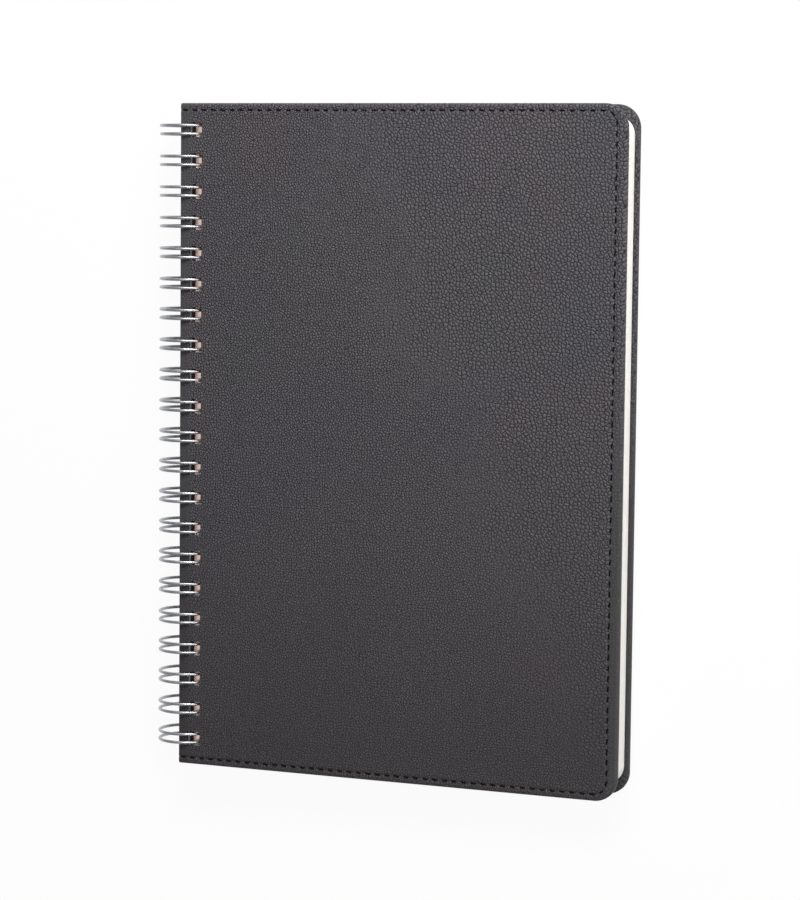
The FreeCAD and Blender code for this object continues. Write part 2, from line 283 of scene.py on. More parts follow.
def make_leather():
    leather = Finish("charcoal_leather")
    sockets = {"X": leather.x + leather.z, "Y": leather.y + leather.z}
    sheared = leather.add("ShaderNodeCombineXYZ", {}, sockets)
    bend = leather.add("ShaderNodeTexNoise", {}, {"Vector": leather.place, "Scale": BEND_CELLS}, "Color")
    sockets = {0: bend, 1: (BEND_REACH, BEND_REACH, BEND_REACH), 2: sheared}
    bent = leather.add("ShaderNodeVectorMath", {"operation": "MULTIPLY_ADD"}, sockets, "Vector")
    fine_crease, fine_dome = grain(leather, bent, FINE_CELLS, FINE_CREASE)
    coarse_crease, coarse_dome = grain(leather, bent, COARSE_CELLS, COARSE_CREASE)
    patches = leather.noise(42, 3)
    towards_corner = leather.x + leather.y * 0.45 + patches * 60 * MM
    drift = towards_corner.rise(5 * MM, 115 * MM)
    deep = (drift + leather.noise(260, 2) * 0.7 - 0.35).rise(0.32, 0.62)
    # Painted shade: lower rises towards the bottom of the cover, where the leather is painted darker.
    lower = 1 - (leather.y + patches * 30 * MM).rise(-90 * MM, 45 * MM)

    wander = leather.noise(160) * 1.6 * MM
    spine_strip = 1 - (leather.x + wander).rise(*SPINE_STRIP)
    rim = leather.x.rise(*RIM_STRIP)
    lower_rim = rim * (1 - (leather.y + wander).rise(-30 * MM, 50 * MM))
    # Smoothed strips, also painted darker: painted shadow of the loops beside the wire, painted shade on
    # the lower rim.
    pressed_and_shaded = spine_strip.math("MAXIMUM", spine_strip * 0.70, lower_rim * 0.75)

    line = fine_crease + (coarse_crease - fine_crease) * deep
    crease = line * (1 - pressed_and_shaded) * (1 - lower * 0.35)
    dome = fine_dome + (coarse_dome - fine_dome) * deep
    pores = leather.noise(3300, 2).rise(0.32, 0.68)
    streaks = leather.noise(1, 2, leather.stretched(2600, 160, 160))
    height = dome * (1 - pressed_and_shaded) * (1 - lower * 0.5) + pores * 0.22 + streaks * spine_strip * 0.25

    brown = leather.noise(26, 3).rise(0.35, 0.68)
    green = leather.noise(19, 2, leather.stretched(1.0, 1.3, 1.0)).rise(0.42, 0.70)
    base = leather.mix(brown, (0.074, 0.069, 0.081), (0.085, 0.073, 0.083))
    base = leather.mix(green * 0.5, base, (0.072, 0.074, 0.077))
    # Painted shadow of the loops darkens the strip beside the wire, and painted shade the lower rim.
    base = leather.mix(pressed_and_shaded * 0.8, base, (0.047, 0.046, 0.046))
    # Painted shade over the lower half of the cover.
    base = leather.mix(lower * (1 - lower_rim) * 0.85, base, (0.036, 0.030, 0.034))
    # Painted sheen: pores and streaks are painted lighter, more so towards the bottom, where the tone is
    # also lowered as painted shade.
    painted_sheen_specks = (pores * 0.8 + streaks * 0.2) * (1 - pressed_and_shaded * 0.6)
    tone = 0.50 - lower * 0.13 + painted_sheen_specks * (1.10 + lower * 0.38)
    # Painted shade darkens the creases in the colour.
    tone = tone * (1 - crease * 0.98) * (1 - deep * 0.08)
    return leather.surface({
        "Base Color": leather.scaled(base, tone),
        "Roughness": 0.56 + crease * 0.16 + pores * 0.08,
        "Specular IOR Level": 0.45,
        "Normal": leather.bump(height, 0.18 * MM, 1.0),
    })


LEATHER = make_leather()
print("leather grain cells per metre:", FINE_CELLS, "to", COARSE_CELLS)

# %% [markdown]
# The wire is drawn steel with a bright, slightly milky plating. Drawing leaves very fine lines, and the
# plating rounds them off, so the finish is a metal with medium, uneven roughness and almost no bump. The
# lower half of the loops is painted darker, as painted shade.

# %% Silver wire
def make_silver():
    silver = Finish("silver_wire")
    cloud = silver.noise(900, 3)
    drawn = silver.noise(5000, 1)
    bright = silver.mix(cloud.rise(0.35, 0.7), (0.47, 0.475, 0.505), (0.565, 0.57, 0.605))
    # Painted shade: the lower half of the loops is painted darker.
    painted_shade_underside = 1 - silver.z.rise(AXIS.z - 5 * MM, AXIS.z + 1 * MM)
    tint = silver.mix(painted_shade_underside * 0.55, bright, (0.17, 0.175, 0.17))
    return silver.surface({
        "Base Color": tint,
        "Metallic": 1.0,
        "Roughness": 0.34 + cloud * 0.10,
        "Normal": silver.bump(drawn, 0.004 * MM, 0.2),
    })


SILVER = make_silver()
print("wire finish:", SILVER.name)

# %% [markdown]
# Paper is nearly white and quite matt. Its faces are faintly cloudy, as paper held up to light is. Its cut
# edges show what it is: a stack of leaves, so the colour and the bump run in layers along the height,
# and drift slowly along the edge. The walls of the punched holes are painted peach as painted light, and
# give off a little painted glow between the wires: more with depth, until past three millimetres a
# painted shadow darkens them and the glow stops. The first and last leaf are painted dark brown as
# painted shade, which shows as a narrow dark strip inside the cover's holes.

# %% Cream paper
LEAF = 0.11 * MM
WALL_EDGE = (HOLE_LENGTH / 2 + 0.02 * MM, HOLE_LENGTH / 2 + 0.12 * MM)


def make_paper():
    paper = Finish("cream_paper")
    layers = paper.noise(1, 2, paper.stretched(60, 60, 9000))
    groups = paper.noise(1, 2, paper.stretched(25, 25, 1500))
    cloud = paper.noise(500, 4)
    shade = layers * 0.45 + groups * 0.35 + cloud * 0.2
    cream = paper.mix(shade.rise(0.3, 0.7), (0.86, 0.835, 0.79), (0.95, 0.93, 0.89))
    to_middle = abs(paper.x - sum(PAGE_HOLE) / 2)
    to_hole = abs(paper.y.math("WRAP", paper.y, LOOP_PITCH / 2, -LOOP_PITCH / 2))
    wall = 1 - to_middle.math("MAXIMUM", to_middle, to_hole).rise(*WALL_EDGE)
    depth = pages_high.z - paper.z
    # Painted light and shadow on the hole walls: a painted glow between the wires that grows with depth,
    # and painted shadow past three millimetres.
    painted_deep_shadow = depth.rise(3.2 * MM, 4.0 * MM)
    glow = wall * (1 - to_hole.rise(0.6 * MM, 1.5 * MM)) * depth.rise(-0.8 * MM, 3.4 * MM) * (1 - painted_deep_shadow)
    # The hole walls are painted peach as painted light, turning dark brown in the painted shadow.
    peach = paper.mix(painted_deep_shadow * 0.8, (0.95, 0.82, 0.76), (0.20, 0.14, 0.11))
    cream = paper.mix(wall * 0.9, cream, peach)
    from_middle = abs(paper.z - (pages_low.z + pages_high.z) / 2)
    half_stack = (pages_high.z - pages_low.z) / 2
    # Painted shade: the first and last leaf are painted dark brown, for the dark strip inside the cover's
    # holes.
    painted_shade_leaf = from_middle.rise(half_stack - LEAF, half_stack - 0.9 * LEAF)
    fibres = paper.noise(6000, 3)
    brown = paper.mix(fibres, (0.040, 0.025, 0.019), (0.062, 0.039, 0.030))
    colour = paper.mix(painted_shade_leaf, cream, brown)
    return paper.surface({
        "Base Color": colour,
        # Painted glow of the hole walls.
        "Emission Color": paper.mix(glow, (0, 0, 0), (0.57, 0.44, 0.40)),
        "Emission Strength": 1.0,
        "Roughness": 0.85 + cloud * 0.1,
        "Specular IOR Level": 0.2,
        "Normal": paper.bump(layers * 0.7 + cloud * 0.3, 0.03 * MM, 0.6),
    })


PAPER = make_paper()
print("paper finish:", PAPER.name)

# %% [markdown]
# Inside each cover a dark lining hides the board. Lining paper for books is often embossed like fine
# linen, so two waves cross at right angles, each about three to every two millimetres, and noise bends
# them a little.

# %% Dark lining and grey board
def make_lining():
    lining = Finish("dark_lining")
    settings = {"wave_type": "BANDS", "bands_direction": "X"}
    sockets = {"Vector": lining.place, "Scale": 480, "Distortion": 1.2, "Detail": 1}
    warp = lining.add("ShaderNodeTexWave", settings, sockets, "Fac")
    settings = {"wave_type": "BANDS", "bands_direction": "Y"}
    weft = lining.add("ShaderNodeTexWave", settings, sockets, "Fac")
    linen = warp * weft
    cloud = lining.noise(60, 3)
    dark = lining.mix(cloud, (0.043, 0.041, 0.044), (0.050, 0.047, 0.050))
    return lining.surface({
        "Base Color": lining.mix(linen * 0.4, dark, (0.085, 0.081, 0.084)),
        "Roughness": 0.75 + cloud * 0.15,
        "Specular IOR Level": 0.3,
        "Normal": lining.bump(linen, 0.05 * MM, 0.6),
    })


def make_board():
    board = Finish("grey_board")
    plies = board.noise(1, 3, board.stretched(300, 300, 6000))
    fibres = board.noise(2600, 4)
    grey = board.mix((plies * 0.6 + fibres * 0.4).rise(0.35, 0.65), (0.22, 0.23, 0.20), (0.34, 0.35, 0.31))
    return board.surface({
        "Base Color": grey,
        "Roughness": 0.9 - fibres * 0.1,
        "Specular IOR Level": 0.2,
        "Normal": board.bump(plies * 0.5 + fibres * 0.5, 0.06 * MM, 0.8),
    })


LINING = make_lining()
BOARD = make_board()
for name, node in frame["nodes"].items():
    if name.endswith(("_lining", "_board")):
        node.data.materials.clear()
        node.data.materials.append(LINING if name.endswith("_lining") else BOARD)
print("linings and boards finished")

# %% [markdown]
# Sewing thread is two plies twisted together and waxed: black, with a thin highlight along the twist.
# The strands are far smaller than anything else here, so a fine diagonal wave in the bump is enough.

# %% Black thread
def make_thread():
    thread = Finish("black_thread")
    settings = {"wave_type": "BANDS", "bands_direction": "DIAGONAL"}
    sockets = {"Vector": thread.place, "Scale": 1500, "Distortion": 0.6, "Detail": 1}
    plies = thread.add("ShaderNodeTexWave", settings, sockets, "Fac")
    fuzz = thread.noise(9000, 2)
    return thread.surface({
        "Base Color": thread.mix(plies * 0.6 + fuzz * 0.4, (0.001, 0.001, 0.0011), (0.004, 0.0038, 0.0041)),
        "Roughness": 0.65 + fuzz * 0.2,
        "Specular IOR Level": 0.12,
        "Normal": thread.bump(plies, 0.05 * MM, 0.8),
    })


THREAD = make_thread()
print("thread finish:", THREAD.name)

# %% [markdown]
# A cover is drawn once, in its own frame: x from the spine to the fore-edge, y along the spine, and height
# above the wire's axis. The front cover is that drawing lifted to the axis. The back cover is the same
# drawing turned half a turn about x. Both outline and seam run round three sides with two rounded
# corners, so one small class serves for both: it gives the points along the line, and, for any
# point of the cover, how far outside the line it lies and how far along.

# %% The line round three sides of a cover
class ThreeSides:
    """A line from the spine along one end, up the fore-edge and back along the other end."""

    def __init__(self, fore, half, radius):
        self.radius = radius
        self.corner_x = fore - radius
        self.corner_y = half - radius
        self.end_run = self.corner_x - SPINE_X
        self.corner_run = math.pi / 2 * radius
        self.fore_run = 2 * self.corner_y
        self.total = 2 * self.end_run + 2 * self.corner_run + self.fore_run

    def at(self, along):
        """The point at a distance along the line, and the direction that points out of the cover."""
        mirrored = along > self.total / 2
        if mirrored:
            along = self.total - along
        if along < self.end_run:
            point, out = (SPINE_X + along, -self.corner_y - self.radius), (0.0, -1.0)
        elif along < self.end_run + self.corner_run:
            turn = (along - self.end_run) / self.radius
            out = (math.sin(turn), -math.cos(turn))
            point = (self.corner_x + self.radius * out[0], -self.corner_y + self.radius * out[1])
        else:
            up = along - self.end_run - self.corner_run
            point, out = (self.corner_x + self.radius, up - self.corner_y), (1.0, 0.0)
        flip = np.array((1.0, -1.0 if mirrored else 1.0))
        return np.array(point) * flip, np.array(out) * flip

    def place(self, x, y):
        """How far outside the line each point lies, and how far along it."""
        over_x = x - self.corner_x
        over_y = np.abs(y) - self.corner_y
        in_corner = (over_x > 0) & (over_y > 0)
        outside = np.where(in_corner, np.hypot(over_x, over_y), np.maximum(over_x, over_y)) - self.radius
        turn = np.arctan2(np.maximum(over_x, 0), np.maximum(over_y, 1e-9))
        on_corner = self.end_run + self.radius * turn
        on_fore = self.end_run + self.corner_run - over_y
        along = np.where(in_corner, on_corner, np.where(over_y > over_x, x - SPINE_X, on_fore))
        return outside, np.where(y < 0, along, self.total - along)


OUTLINE = ThreeSides(FORE_X, HALF_HEIGHT, COVER_CORNER)
SEAM = ThreeSides(FORE_X - SEAM_FORE_INSET, HALF_HEIGHT - SEAM_END_INSET, SEAM_CORNER)
STITCH_COUNT = round(SEAM.total / STITCH_PITCH)
STITCH_STEP = SEAM.total / STITCH_COUNT
print(f"seam {SEAM.total / MM:.1f} mm long, {STITCH_COUNT} stitches")

# %% [markdown]
# Flat stretches of the leather are filled with triangles. Blender's constrained Delaunay function takes
# points and the edges that it has to keep, and joins them all. Triangles that fall in a hole or past the
# border are thrown away after. The spare points between, on a loose grid, keep the triangles from growing
# long and thin, which would show as streaks in a soft reflection.

# %% Filling a flat region with triangles
def ring_edges(first, count):
    return [(first + i, first + (i + 1) % count) for i in range(count)]


def rectangle_ring(x_low, x_high, y_low, y_high, step):
    """Points round a rectangle, evenly spaced on each side."""
    corners = [(x_low, y_low), (x_high, y_low), (x_high, y_high), (x_low, y_high)]
    points = []
    for (ax, ay), (bx, by) in zip(corners, corners[1:] + corners[:1]):
        count = max(1, round(math.hypot(bx - ax, by - ay) / step))
        points += [(ax + (bx - ax) * i / count, ay + (by - ay) * i / count) for i in range(count)]
    return points


def fill(rings, spare, keep):
    """Triangles over closed rings of points, where keep says yes to a triangle's middle."""
    points = []
    edges = []
    for ring in rings:
        edges += ring_edges(len(points), len(ring))
        points += [tuple(p) for p in ring]
    points += [tuple(p) for p in spare]
    scale = 1000.0
    scaled = [Vector((x * scale, y * scale)) for x, y in points]
    found, _, faces, _, _, _ = delaunay_2d_cdt(scaled, edges, [], 0, 1e-6)
    found = np.array([tuple(p) for p in found]) / scale
    middles = np.array([found[list(face)].mean(0) for face in faces])
    kept = keep(middles[:, 0], middles[:, 1])
    return found, [tuple(face) for face, good in zip(faces, kept) if good]


print("triangle filler ready")

# %% [markdown]
# The leather of a cover is one skin: a face with a punched row of holes, rolled over three edges and
# turned in on the inside. It is drawn as the outer side of the skin, then the other side is laid on the
# board, half a millimetre in, and the open borders are closed between the two. Solidify would do that too,
# but it copies every pucker to the inside, where the real leather lies flat against its board.
#
# The rim is a strip of sections that follow the outline. A section is a short profile: in from the
# edge on the outer face, round the edge, and back on the inner face.

# %% The section of the rim
RIM_WIDTH = 4.0 * MM
RIM_STEP = STITCH_STEP / 8


def rim_section():
    """Inset from the edge and height above the axis, from the outer face round to the inner."""
    flat = [4.0, 3.6, 3.3, 3.05, 2.8, 2.55, 2.3, 2.1, 1.9, 1.7, 1.5, 1.25, 1.0]
    section = [(inset * MM, OUTER_FACE) for inset in flat]  # closest at the seam, 1.9 and 2.8 mm in
    for turn in np.linspace(0, math.pi / 2, 6):
        inset = OUTER_ROUND * (1 - math.sin(turn))
        section.append((inset, OUTER_FACE - OUTER_ROUND * (1 - math.cos(turn))))
    for turn in np.linspace(0, math.pi / 2, 4):
        inset = INNER_ROUND * (1 - math.cos(turn))
        section.append((inset, INNER_FACE + INNER_ROUND * (1 - math.sin(turn))))
    section += [(inset * MM, INNER_FACE) for inset in (0.8, 1.4, 2.2, 3.1, 4.0)]
    return section


SECTION = rim_section()
STATIONS = np.linspace(0, OUTLINE.total, round(OUTLINE.total / RIM_STEP) + 1)
print(f"rim: {len(STATIONS)} sections of {len(SECTION)} points")

# %% [markdown]
# Points of the rim and of the filled flats have to be shared where they meet, so a small collector
# keeps one number for each place.

# %% Collecting shared points
class Mesh:
    """Points that are shared by place, and the faces between them."""

    def __init__(self):
        self.numbers = {}
        self.points = []
        self.faces = []

    def point(self, x, y, z):
        key = (round(x * 1e6), round(y * 1e6), round(z * 1e6))
        if key not in self.numbers:
            self.numbers[key] = len(self.points)
            self.points.append((x, y, z))
        return self.numbers[key]

    def face(self, corners):
        unique = list(dict.fromkeys(corners))
        if len(unique) > 2:
            self.faces.append(tuple(unique))

    def borders(self):
        """Directed edges that only one face uses."""
        used = {}
        for face in self.faces:
            for a, b in zip(face, face[1:] + face[:1]):
                used[(a, b)] = True
        return [(a, b) for a, b in used if (b, a) not in used]


def in_hole(x, y, sides, places):
    across = (x > sides[0]) & (x < sides[1])
    return across & np.any([np.abs(y - place) < HOLE_LENGTH / 2 for place in places], axis=0)


def hole_rings(sides, places, step):
    half = HOLE_LENGTH / 2
    return [rectangle_ring(*sides, place - half, place + half, step) for place in places]


def spare_grid(x_low, x_high, half, step, clear_of):
    """Grid points that keep half a step from every ring."""
    xs = np.arange(x_low + step, x_high, step)
    ys = np.arange(-half + step, half, step)
    grid = np.array([(x, y) for x in xs for y in ys])
    borders = np.array([p for ring in clear_of for p in ring])
    far = [np.min(np.hypot(*(borders - point).T)) > step / 2 for point in grid]
    return grid[np.array(far)]


print("mesh collector ready")

# %% [markdown]
# Now the skin itself. The outer face is the rim's inner border, the spine edge and 21 holes. The turn-in
# is a narrow U on the inner face, which reaches 12 mm in, and the first and last hole go through it too.

# %% The leather skin, still smooth
HOLE_STEP = 0.6 * MM
GRID_STEP = 2.6 * MM


def add_flat(mesh, points, faces, height, turned):
    numbers = [mesh.point(x, y, height) for x, y in points]
    for face in faces:
        corners = [numbers[i] for i in face]
        mesh.face(corners[::-1] if turned else corners)


def smooth_skin():
    mesh = Mesh()
    rows = []
    for along in STATIONS:
        edge, out = OUTLINE.at(along)
        rows.append([mesh.point(*(edge - out * inset), height) for inset, height in SECTION])
    for row, following in zip(rows, rows[1:]):
        for i in range(len(SECTION) - 1):
            mesh.face([row[i], row[i + 1], following[i + 1], following[i]])

    border = [mesh.points[row[0]][:2] for row in rows]
    half = HALF_HEIGHT - RIM_WIDTH
    spine = [(SPINE_X, y) for y in np.linspace(half, -half, 61)[1:-1]]
    inner_line = ThreeSides(FORE_X - RIM_WIDTH, half, COVER_CORNER - RIM_WIDTH)

    def on_plate(x, y):
        return (inner_line.place(x, y)[0] < 0) & ~in_hole(x, y, COVER_HOLE, HOLE_PLACES)

    rings = [border + spine, *hole_rings(COVER_HOLE, HOLE_PLACES, HOLE_STEP)]
    spare = spare_grid(SPINE_X, FORE_X - RIM_WIDTH, half, GRID_STEP, rings)
    add_flat(mesh, *fill(rings, spare, on_plate), OUTER_FACE, False)

    window_x = FORE_X - TURN_IN
    window_y = HALF_HEIGHT - TURN_IN
    across = [(x, -window_y) for x in np.linspace(SPINE_X, window_x, 50)]
    up = [(window_x, y) for y in np.linspace(-window_y, window_y, 70)[1:-1]]
    window = across + up + [(x, -y) for x, y in across[::-1]]
    ends = (HOLE_PLACES[0], HOLE_PLACES[-1])

    def on_turn_in(x, y):
        past_window = (x > window_x) | (np.abs(y) > window_y)
        return past_window & (inner_line.place(x, y)[0] < 0) & ~in_hole(x, y, COVER_HOLE, ends)

    outer_ends = [(SPINE_X, side * y) for side in (1, -1) for y in np.linspace(half, window_y, 5)[1:-1]]
    ring = border + outer_ends[:3] + window[::-1] + outer_ends[3:][::-1]
    rings = [ring, *hole_rings(COVER_HOLE, ends, HOLE_STEP)]
    add_flat(mesh, *fill(rings, [], on_turn_in), INNER_FACE, True)
    return mesh


SKIN = smooth_skin()
print(f"skin: {len(SKIN.points)} points, {len(SKIN.faces)} faces, {len(SKIN.borders())} border edges")

# %% [markdown]
# A machine seam shows in the leather more than in the thread. Each stitch pulls a groove, the needle
# holes at its ends pull deeper, and the leather between stitches swells on both sides of the line. All
# that is one height for each point, from its distance to the seam and its place along it. On the inside
# the leather is gathered round each corner, which leaves a few short pleats that fan out from it.

# %% Grooves, puffs and pleats
PUFF = 0.05 * MM
PUFF_PLACE = 0.95 * MM
PUFF_WIDTH = 0.55 * MM
GROOVE_WIDTH = 0.34 * MM
NEEDLE_DEPTH = 0.12 * MM
NEEDLE_WIDTH = 0.3 * MM
NEEDLE_PHASE = 0.36
PLEATS = 6
PLEAT_DEPTH = 0.32 * MM
SWELL_HEIGHT = 0.012 * MM
SWELL_LENGTH = 9 * MM


def seam_relief(x, y):
    """How far the leather's outer face rises at each point."""
    outside, along = SEAM.place(x, y)
    phase = (along / STITCH_STEP) % 1 - 0.5
    pull = 0.5 + 0.5 * np.cos(2 * math.pi * phase)
    groove = SEAM_DEPTH * np.exp(-((outside / GROOVE_WIDTH) ** 2))
    to_needle = np.hypot(outside, (np.abs(phase) - NEEDLE_PHASE) * STITCH_STEP)
    needle = NEEDLE_DEPTH * np.exp(-((to_needle / NEEDLE_WIDTH) ** 2))
    beside = np.exp(-(((np.abs(outside) - PUFF_PLACE) / PUFF_WIDTH) ** 2))
    return PUFF * beside * (1 - 0.55 * pull) - groove * (0.6 + 0.4 * pull) - needle


def pleat_depth(x, y):
    """How deep the gathers of the turned-in corners are at each point."""
    over_x = x - (FORE_X - COVER_CORNER)
    over_y = np.abs(y) - (HALF_HEIGHT - COVER_CORNER)
    turn = np.arctan2(over_x, over_y) / (math.pi / 2)
    in_corner = (over_x > -2 * MM) & (over_y > -2 * MM)
    bent = turn + 0.03 * np.sin(9 * turn + y / MM)
    folds = np.abs(np.sin(PLEATS * math.pi * bent))
    groove = (1 - folds) ** 1.5
    fade = np.clip(np.hypot(over_x, over_y) / (3 * MM) - 0.2, 0, 1)
    ends = np.clip(6 * turn + 0.2, 0, 1) * np.clip(6 * (1 - turn) + 0.2, 0, 1)
    return np.where(in_corner, PLEAT_DEPTH * groove * fade * ends, 0)


def swell(x, y, seed):
    """The slow waves of a hand-laid skin, a few hundredths of a millimetre high."""
    waves = np.zeros_like(x)
    for turn in np.random.default_rng(seed).uniform(0, 2 * math.pi, (5, 2)):
        across = x * math.cos(turn[0]) + y * math.sin(turn[0])
        waves += np.sin(across / SWELL_LENGTH + turn[1])
    return SWELL_HEIGHT * waves


def finished_skin(seed):
    """The outer side with its relief, and the side that lies on the board."""
    smooth = np.array(SKIN.points)
    x, y, height = smooth.T
    share_up = np.clip((height - (OUTER_FACE - OUTER_ROUND)) / OUTER_ROUND, 0, 1)
    share_down = np.clip(((INNER_FACE + 3 * INNER_ROUND) - height) / INNER_ROUND, 0, 1)
    near_wire = np.clip((x - COVER_HOLE[1]) / (4 * MM), 0, 1)
    relief = seam_relief(x, y) + swell(x, y, seed) * near_wire
    outer = smooth.copy()
    outer[:, 2] = height + relief * share_up + pleat_depth(x, y) * share_down

    outside = OUTLINE.place(x, y)[0]
    skin = LEATHER_THICKNESS
    corner = 0.1 * MM
    shift = np.minimum(outside + skin + corner, 0) - (outside + skin + corner)
    level = np.clip(height, INNER_FACE + skin + corner, OUTER_FACE - skin - corner)
    away = np.stack([-shift, height - level], axis=1)
    length = np.maximum(np.linalg.norm(away, axis=1), 1e-12)
    inward = shift + corner * away[:, 0] / length
    over = np.stack([x - OUTLINE.corner_x, np.abs(y) - OUTLINE.corner_y], axis=1)
    in_corner = (over > 0).all(axis=1)
    radial = over / np.maximum(np.linalg.norm(over, axis=1), 1e-12)[:, None]
    straight = np.where((over[:, 0] > over[:, 1])[:, None], (1.0, 0.0), (0.0, 1.0))
    out = np.where(in_corner[:, None], radial, straight) * np.stack([np.ones_like(y), np.sign(y)], axis=1)
    inner = smooth.copy()
    inner[:, :2] += out * inward[:, None]
    inner[:, 2] = level + corner * away[:, 1] / length
    return outer, inner


outer, _ = finished_skin(1)
lowest, highest = outer[:, 2].min() - INNER_FACE, outer[:, 2].max() - OUTER_FACE
print(f"relief from {lowest / MM:.2f} to {highest / MM:.2f} mm")

# %% [markdown]
# The two sides and the strip between their borders make a closed skin. The same drawing gives both
# covers, with other slow waves on each.

# %% Two leather covers
COVER_PLACES = {
    "front": Matrix.Translation((0, 0, AXIS.z)),
    "back": Matrix.Translation((0, 0, AXIS.z)) @ Matrix.Rotation(math.pi, 4, "X"),
}


def mesh_object(name, points, faces, material):
    data = bpy.data.meshes.new(name)
    data.from_pydata([tuple(p) for p in points], [], faces)
    data.shade_smooth()
    data.materials.append(material)
    piece = bpy.data.objects.new(name, data)
    bpy.context.scene.collection.objects.link(piece)
    return piece


def seat(piece, side, node):
    """Puts a piece drawn in the cover's own frame in its place, and lets it stand for a CAD piece."""
    piece.data.transform(COVER_PLACES[side])
    piece.data.update()
    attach(piece, f"{side}_cover")
    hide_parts(node)


def leather_cover(side, seed):
    outer, inner = finished_skin(seed)
    count = len(outer)
    faces = list(SKIN.faces)
    faces += [tuple(i + count for i in face[::-1]) for face in SKIN.faces]
    faces += [(b, a, a + count, b + count) for a, b in SKIN.borders()]
    cover = mesh_object(f"{side}_leather_skin", np.vstack([outer, inner]), faces, LEATHER)
    sharp = {frozenset(edge) for a, b in SKIN.borders() for edge in ((a, b), (a + count, b + count))}
    for edge in cover.data.edges:
        edge.use_edge_sharp = frozenset(edge.vertices) in sharp
    seat(cover, side, f"{side}_leather")
    return cover


for number, side in enumerate(COVER_PLACES):
    cover = leather_cover(side, number + 1)
    print(f"{cover.name}: {len(cover.data.polygons)} faces")

# %% [markdown]
# Every stitch is a short length of thread that comes up through one needle hole, bows over the leather
# and goes down the next. A lockstitch machine lays it a little askew to the line, so each one leans the
# same way. The machine's second thread makes a row on the inside too.

# %% Stitches
STITCH_LEAN = math.radians(7)
LEAN_PLAY = math.radians(2.5)
LENGTH_PLAY = (0.94, 1.04)
STITCH_DIP = 0.32 * MM
OUTER_TOP = 0.075 * MM
INNER_TOP = 0.015 * MM
BOW_POINTS = 9
THREAD_SIDES = 8
THREAD_HALF_HEIGHT = 0.13 * MM


def stitch_bow(half_length, top, dip):
    """Points of one stitch in its own frame: along the seam, and height above the leather."""
    spots = np.linspace(-1, 1, BOW_POINTS)
    height = top - (top + dip) * np.abs(spots) ** 4
    return np.stack([spots * half_length * (1 - 0.06 * np.abs(spots) ** 6), height], axis=1)


def tube_round(points, flat, tall, aside):
    """A closed tube through points, wider along aside than it is tall."""
    rings = []
    for i, point in enumerate(points):
        before = points[max(i - 1, 0)]
        after = points[min(i + 1, len(points) - 1)]
        ahead = (after - before) / np.linalg.norm(after - before)
        up = np.cross(aside, ahead)
        turns = np.linspace(0, 2 * math.pi, THREAD_SIDES, endpoint=False)
        rings.append([point + aside * flat * math.cos(t) + up * tall * math.sin(t) for t in turns])
    verts = [vert for ring in rings for vert in ring]
    sides = THREAD_SIDES
    faces = []
    for i in range(len(points) - 1):
        for k in range(sides):
            a, b = i * sides + k, i * sides + (k + 1) % sides
            faces.append((a, b, b + sides, a + sides))
    faces.append(tuple(range(sides))[::-1])
    faces.append(tuple(range(len(verts) - sides, len(verts))))
    return verts, faces


def sew(side, seed):
    random = np.random.default_rng(seed)
    verts = []
    faces = []
    rows = ((OUTER_FACE, 1, OUTER_TOP), (INNER_FACE, -1, INNER_TOP))
    for number in range(STITCH_COUNT):
        middle, out = SEAM.at((number + 0.5) * STITCH_STEP)
        lean = STITCH_LEAN + random.normal(0, LEAN_PLAY)
        for level, up, top in rows:
            ahead = np.array((-out[1], out[0]))
            turned = ahead * math.cos(lean) + out * math.sin(lean)
            half = STITCH_LENGTH / 2 * random.uniform(*LENGTH_PLAY)
            bow = stitch_bow(half, top, STITCH_DIP)
            points = [np.array((*(middle + turned * a), level + up * h)) for a, h in bow]
            aside = np.array((turned[1], -turned[0], 0.0))
            tube, skin = tube_round(points, THREAD_WIDTH / 2, THREAD_HALF_HEIGHT, aside)
            faces += [tuple(i + len(verts) for i in face) for face in skin]
            verts += tube
    thread = mesh_object(f"{side}_thread", verts, faces, THREAD)
    seat(thread, side, f"{side}_stitching")
    return thread


for number, side in enumerate(COVER_PLACES):
    thread = sew(side, number + 11)
    print(f"{thread.name}: {2 * STITCH_COUNT} stitches, {len(thread.data.polygons)} faces")

# %% [markdown]
# The wire is one length, bent by a machine into 21 twin loops. Each loop goes up round the book on one
# side, turns back in a narrow U at its tip, comes down beside itself, and a bend at the base leads along
# to the next. That is all arcs and straight runs, so its centreline is worked out from the radii, and a
# curve with a round bevel gives the wire its body. A curve keeps its section true in every bend.

# %% The wire's centreline
ARM_STEP = 6
BEND_STEP = 15


def on_loop(degrees, y):
    angle = math.radians(degrees)
    return Vector((LOOP_RADIUS * math.cos(angle), y, LOOP_RADIUS * math.sin(angle)))


def along_loop(degrees):
    angle = math.radians(degrees)
    return Vector((-math.sin(angle), 0, math.cos(angle)))


def arc(centre, start, end, radius, degrees):
    """Points round a centre, from one direction towards another at right angles to it."""
    count = round(degrees / BEND_STEP)
    turns = [math.radians(degrees) * i / count for i in range(count + 1)]
    return [centre + (start * math.cos(t) + end * math.sin(t)) * radius for t in turns]


def one_loop(y):
    """The points of one twin loop, from its landing on the bridge below to the one above."""
    half = TWIN_SPACING / 2
    base, tip = -BASE_ANGLE, -360 - TIP_ANGLE
    across = Vector((0, 1, 0))
    rise = along_loop(base)
    angles = np.linspace(base, tip, round((base - tip) / ARM_STEP) + 1)
    points = arc(on_loop(base, y - half) - across * BASE_BEND, rise, across, BASE_BEND, 90)
    points += [on_loop(angle, y - half) for angle in angles[1:]]
    points += arc(on_loop(tip, y), -across, -along_loop(tip), half, 180)[1:]
    points += [on_loop(angle, y + half) for angle in angles[::-1][1:]]
    points += arc(on_loop(base, y + half) + across * BASE_BEND, -across, rise, BASE_BEND, 90)[1:]
    return points


